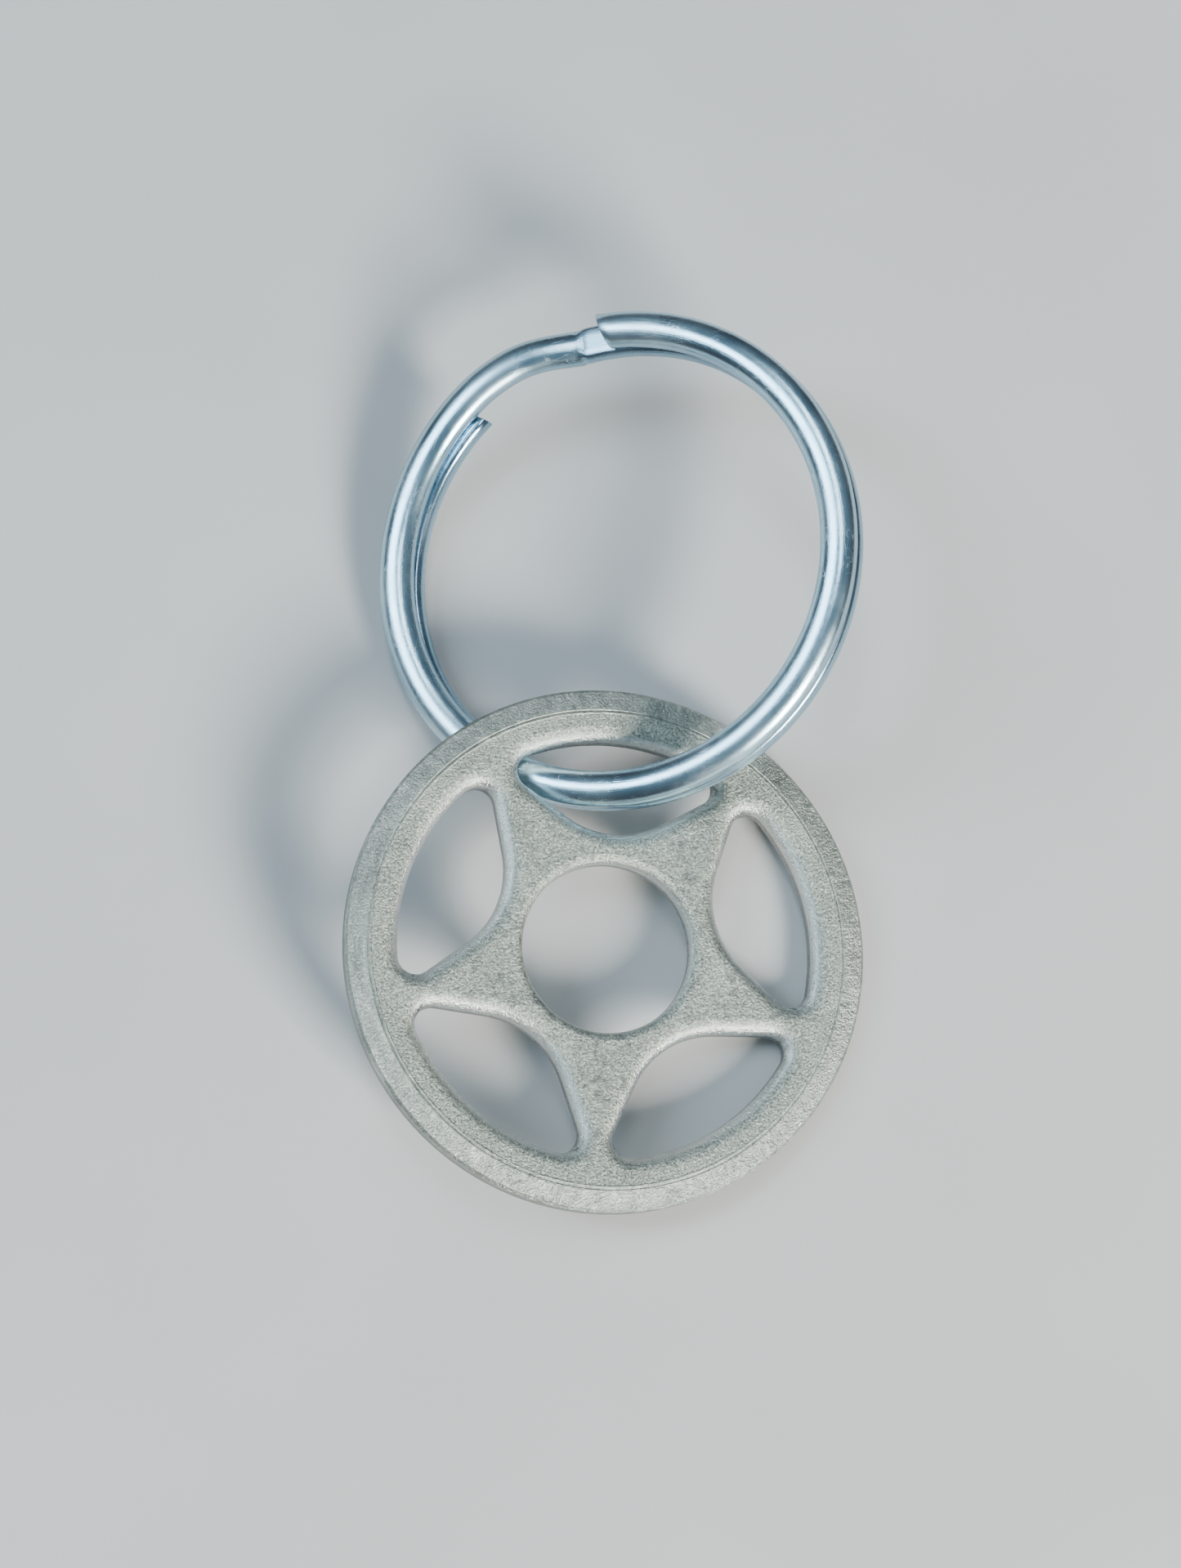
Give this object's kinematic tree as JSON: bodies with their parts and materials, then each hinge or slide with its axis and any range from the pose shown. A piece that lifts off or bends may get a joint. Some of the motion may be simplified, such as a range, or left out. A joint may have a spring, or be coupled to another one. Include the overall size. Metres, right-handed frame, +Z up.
{
  "type": "split key ring",
  "caption": "Two-turn sprung split ring of flattened plated wire with a flat spoked metal disc threaded on it; the ends pry open for keys.",
  "frame": {"origin": "centre of the bounding box at its lowest plane, the table the parts lie on", "axes": "+Z up, +Y from the disc towards the ring, +X to the right seen from above"},
  "size_m": [0.0304, 0.0534, 0.0132],
  "materials": {
    "plated_wire": "bright zinc or nickel plating, fine wear scratches",
    "blasted_steel": "fine blasted grain on the face, radial grinding marks on the rim band"
  },
  "bodies": {
    "split_ring": {"ring_body_wire": "plated_wire"},
    "upper_end": {"ring_upper_end": "plated_wire"},
    "lower_end": {"ring_lower_end": "plated_wire"},
    "disc": {"spoked_disc": "blasted_steel"}
  },
  "joints": [
    {"name": "upper_end_pry", "type": "hinge", "parent": "split_ring", "child": "upper_end", "pos_m": [0.01175, 0.00216, 0.00977], "axis": [0.5732, 0.7621, 0.301], "range_deg": [0, 8], "stiffness_Nm_per_rad": 0.2, "springref_deg": -2.86},
    {"name": "lower_end_pry", "type": "hinge", "parent": "split_ring", "child": "lower_end", "pos_m": [-0.00898, 0.00119, 0.00178], "axis": [-0.6863, 0.7035, -0.1848], "range_deg": [0, 9], "stiffness_Nm_per_rad": 0.2, "springref_deg": -2.86},
    {"name": "disc_turn", "type": "hinge", "parent": "split_ring", "child": "disc", "pos_m": [0.0011, -0.0021, 0.00526], "axis": [-0.036, 0.9949, 0.0944], "range_deg": [0, 105]}
  ]
}
